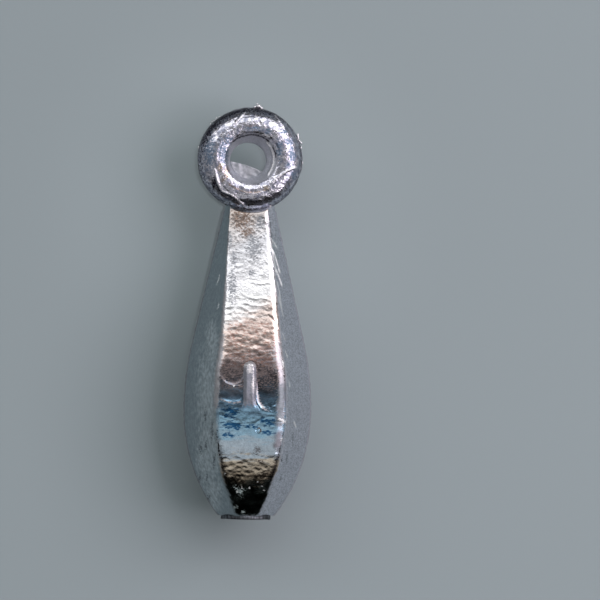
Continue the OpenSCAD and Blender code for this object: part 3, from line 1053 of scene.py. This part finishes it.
def clipped(p, n):
    """The cut, and less and less of the stub's side."""
    return ease(-p[:, 1], base_drop + 0.1 * mm, base_drop + sprue_h)


ripple(sprue, "torn", (0.35, 0.5, 0.9), 0.09, clipped, place=(1, 0, 5), layers=2)
ripple(sprue, "lip", (0.7, 2, 0.7), 0.08, clipped, place=(2, 0, 1))

# Clipped lead: it dulls within days to a matter grey than the cast skin, and it is painted darker still
# as shadow on the cut; the cutters' drag marks run across it
cut_and_shadow_hexes = ("#3E4044", "#7B8088")
cut_grain = (0.12, 1, 0.9)
cut_bump = 0.03 * mm
cut_finish, tree, shader = new_material("clipped_lead_dulled", metallic=1)
scaled = add_node(
    tree, "Mapping", Vector=add_node(tree, "TexCoord").outputs["Object"],
    Scale=[1 / (s * mm) for s in cut_grain],
)
drag = add_node(tree, "TexNoise", Vector=scaled, Scale=1, Detail=3)
streak = add_node(tree, "MapRange", smooth, Value=drag, From_Min=0.4, From_Max=0.75)
streaked = add_node(tree, "Mix", mix_colours, _0=streak, _6=linear(cut_and_shadow_hexes[0]), _7=linear(cut_and_shadow_hexes[1]))
bump = add_node(tree, "Bump", Height=drag, Strength=1, Distance=cut_bump)
tree.links.new(streaked.outputs["Result"], shader.inputs["Base Color"])
tree.links.new(bump.outputs["Normal"], shader.inputs["Normal"])
sprue.data.materials.append(cut_finish)

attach(sprue, "root")
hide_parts("sprue_stub")


# The parting seams: where the two mould halves met, metal crept between them and left a thin
# ragged fin down both side corners and round the ring.
fin_t = 0.08 * mm
fin_out = 0.07 * mm
fin_in = 0.3 * mm
fin_rows = (30, 8)
fin_edge_share = 0.2
ring_gap = radians(25)
ring_fin_steps = 300

# Thin cast flash: dull and dark, because it cooled first and is never handled
seam_hex = "#7E838A"
seam_finish, _, shader = new_material("cast_lead_thin_flash", metallic=1)
shader.inputs["Base Color"].default_value = linear(seam_hex)


def finish_fin(fin, node):
    """Gives a seam fin the flash's finish, hangs it on the root and hides the part it stands for."""
    fin.data.materials.append(seam_finish)
    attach(fin, "root")
    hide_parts(node)


fin_length = base_drop - eye_r
for side, node in ((-1, "seam_fin_left"), (1, "seam_fin_right")):
    bpy.ops.mesh.primitive_cube_add(size=1, location=(side * belly_w, -eye_r - fin_length / 2, 0))
    fin = bpy.context.object
    fin.name = "cast_" + node
    fin.scale = (fin_in + fin_out, fin_length, fin_t)
    settle(fin)
    divide_along(fin, fin_length, fin_rows)
    p, n = points_of(fin)
    drop = -p[:, 1]
    # Waves of three lengths that don't fall in step along the fin, in radians per millimetre
    turn = drop / mm
    ragged = 0.7 + 0.4 * np.sin(turn * 1.9 + side) * np.sin(turn * 4.3) + 0.2 * np.sin(turn * 9.1)
    outer = (p[:, 0] - side * belly_w) * side > 0
    p[:, 0] = side * (half_width(drop) + np.where(outer, fin_out * ragged, -fin_in))
    p[:, 2] *= np.where(outer, fin_edge_share, 1)
    put(fin, p)
    finish_fin(fin, node)

bpy.ops.mesh.primitive_plane_add(
    size=1, location=(eye_r - fin_in / 2 + fin_out / 2, 0, 0), rotation=(pi / 2, 0, 0)
)
eye_fin = bpy.context.object
eye_fin.name = "cast_eye_seam_fin"
eye_fin.scale = (fin_in + fin_out, fin_t, 1)
settle(eye_fin)
edit(eye_fin, "FACE", lambda p: True)
bpy.ops.mesh.spin(steps=ring_fin_steps, angle=2 * (pi - ring_gap), center=(0, 0, 0), axis=(0, 0, 1))
finish_shell()
eye_fin.rotation_euler.z = ring_gap - pi / 2
settle(eye_fin)
p, n = points_of(eye_fin)
radius = np.hypot(p[:, 0], p[:, 1])
turn = np.arctan2(p[:, 1], p[:, 0])
ragged = 0.75 + 0.3 * np.sin(turn * 7) * np.sin(turn * 17 + 1) + 0.3 * np.sin(turn * 31)
outer = radius > eye_r
p[:, :2] *= (np.where(outer, eye_r + fin_out * ragged, eye_r - fin_in) / radius)[:, None]
p[:, 2] *= np.where(outer, fin_edge_share, 1)
put(eye_fin, p)
finish_fin(eye_fin, "eye_seam_fin")


# The film in the eye: metal that crept between the two core pins and set as a thin skin
# across the base side of the hole. It is paler than the rest, and breaks away with a knife.
film_turn = radians(-18)
film_edge = 1 * mm
film_bulge = 0.2 * mm
film_t = 0.07 * mm
film_r = 2.2 * mm
film_cells = 80

bpy.ops.mesh.primitive_grid_add(x_subdivisions=film_cells, y_subdivisions=film_cells, size=2 * film_r)
film = bpy.context.object
film.name = "cast_eye_film"
edit(film, "VERT", lambda p: hypot(p[0][0], p[0][1]) > film_r)
bpy.ops.mesh.delete(type="VERT")
bpy.ops.mesh.select_all(action="SELECT")
bpy.ops.mesh.bisect(plane_co=(0, -film_edge, 0), plane_no=(0, 1, 0), clear_outer=True)
bpy.ops.mesh.select_all(action="SELECT")
bpy.ops.mesh.extrude_region_move(TRANSFORM_OT_translate={"value": (0, 0, film_t)})
finish_shell()
p, n = points_of(film)
at_edge = ease(p[:, 1], -film_r * 0.75, -film_edge)
p[:, 1] += film_bulge * at_edge * (1 - (p[:, 0] / film_r) ** 2)
put(film, p)
film.rotation_euler.z = film_turn
settle(film)
bpy.ops.object.shade_smooth()
ripple(film, "creep", (0.8, 0.8, 5), 0.2, everywhere, place=(1, 6, 0))

# Pale cast film: thin enough to chill at once, so it kept a clouded, lilac-white skin
film_grains = {
    "broad": [(0.5, 0.35, 0.5), 2, (0, 0, 0)], "fine": [(0.3, 0.3, 0.3), 2, (1, 1, 1)],
    "blotch": [(0.9, 0.9, 0.9), 2, (4, 1, 1)],
}
film.data.materials.append(
    cast_lead("cast_lead_pale_film", film_grains, {}, ("#A6AAB2", "#C1C4CC"), (0.5, 0.6), 0.006)
)

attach(film, "root")
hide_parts("eye_film_flash")


# Crumbs of flash: beads and slivers of lead that spat between the mould halves at the ring's
# outer edge, and still cling to the seam.
# Each is [degrees round the ring from +X, distance from its middle, length, width], in mm.
crumbs = [
    [82.5, 5.66, 0.62, 0.42], [79, 5.56, 0.4, 0.32], [86, 5.56, 0.34, 0.22], [84, 5.9, 0.24, 0.2],
    [131, 5.64, 0.4, 0.09], [136, 5.68, 0.55, 0.1], [140, 5.62, 0.36, 0.09], [127, 5.58, 0.3, 0.1],
    [168, 5.62, 0.26, 0.16], [26, 5.55, 0.8, 0.24], [20, 5.58, 0.6, 0.22], [14, 5.5, 0.26, 0.16],
    [-3, 5.48, 0.4, 0.15], [205, 5.5, 0.2, 0.14],
]
crumb_lift = 0.15 * mm
crumb_flat_share = 0.9
crumb_tip = radians(25)
crumb_skew = radians(20)

beads = []
for index, (turn, off, length, width) in enumerate(crumbs):
    a = radians(turn)
    # A bead 1 mm across, made the crumb's size and tipped one way or the other by turns
    bpy.ops.mesh.primitive_ico_sphere_add(
        subdivisions=3, radius=0.5 * mm, location=(off * cos(a) * mm, off * sin(a) * mm, crumb_lift)
    )
    bead = bpy.context.object
    bead.scale = (width * crumb_flat_share, length, width)
    way = (-1) ** index
    bead.rotation_euler = (0, crumb_tip * way, a + crumb_skew * way)
    settle(bead)
    beads.append(bead)
bpy.ops.object.select_all(action="DESELECT")
for bead in beads:
    bead.select_set(True)
bpy.context.view_layer.objects.active = beads[0]
bpy.ops.object.join()
burrs = bpy.context.object
burrs.name = "flash_crumbs"
bpy.ops.object.shade_smooth()
ripple(burrs, "ragged", (0.15, 0.15, 0.15), 0.12, everywhere, layers=2)

# Spattered lead: it froze in the air, so it is clean and bright
crumb_hex = "#E2E3E7"
crumb_finish, _, shader = new_material("spattered_lead_bright", metallic=1, roughness=0.4)
shader.inputs["Base Color"].default_value = linear(crumb_hex)
burrs.data.materials.append(crumb_finish)

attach(burrs, "root")

bpy.context.scene.view_settings.view_transform = "Standard"
